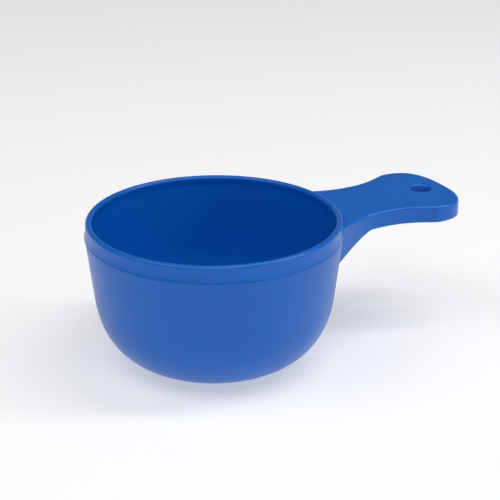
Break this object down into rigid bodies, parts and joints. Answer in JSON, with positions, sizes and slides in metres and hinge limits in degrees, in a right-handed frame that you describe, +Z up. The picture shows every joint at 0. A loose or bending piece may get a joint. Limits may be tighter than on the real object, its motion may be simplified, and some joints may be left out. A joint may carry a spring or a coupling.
{
  "type": "feed scoop",
  "caption": "Round moulded plastic feed scoop: an open bowl with a full-round lip and rim band, and a short broad flat handle with a hang hole.",
  "frame": {"origin": "centre of the bowl's flat base, on the plane that the scoop stands on", "axes": "+Z up along the bowl's axis, +X along the handle towards its end, +Y to its left"},
  "size_m": [0.2364, 0.1516, 0.0888],
  "materials": {
    "bowl_plastic": "satin moulded blue polypropylene",
    "rim_plastic": "satin moulded blue polypropylene",
    "handle_plastic": "satin moulded blue polypropylene"
  },
  "bodies": {
    "root": {"bowl": "bowl_plastic", "rim_band": "rim_plastic", "handle": "handle_plastic"}
  },
  "joints": []
}
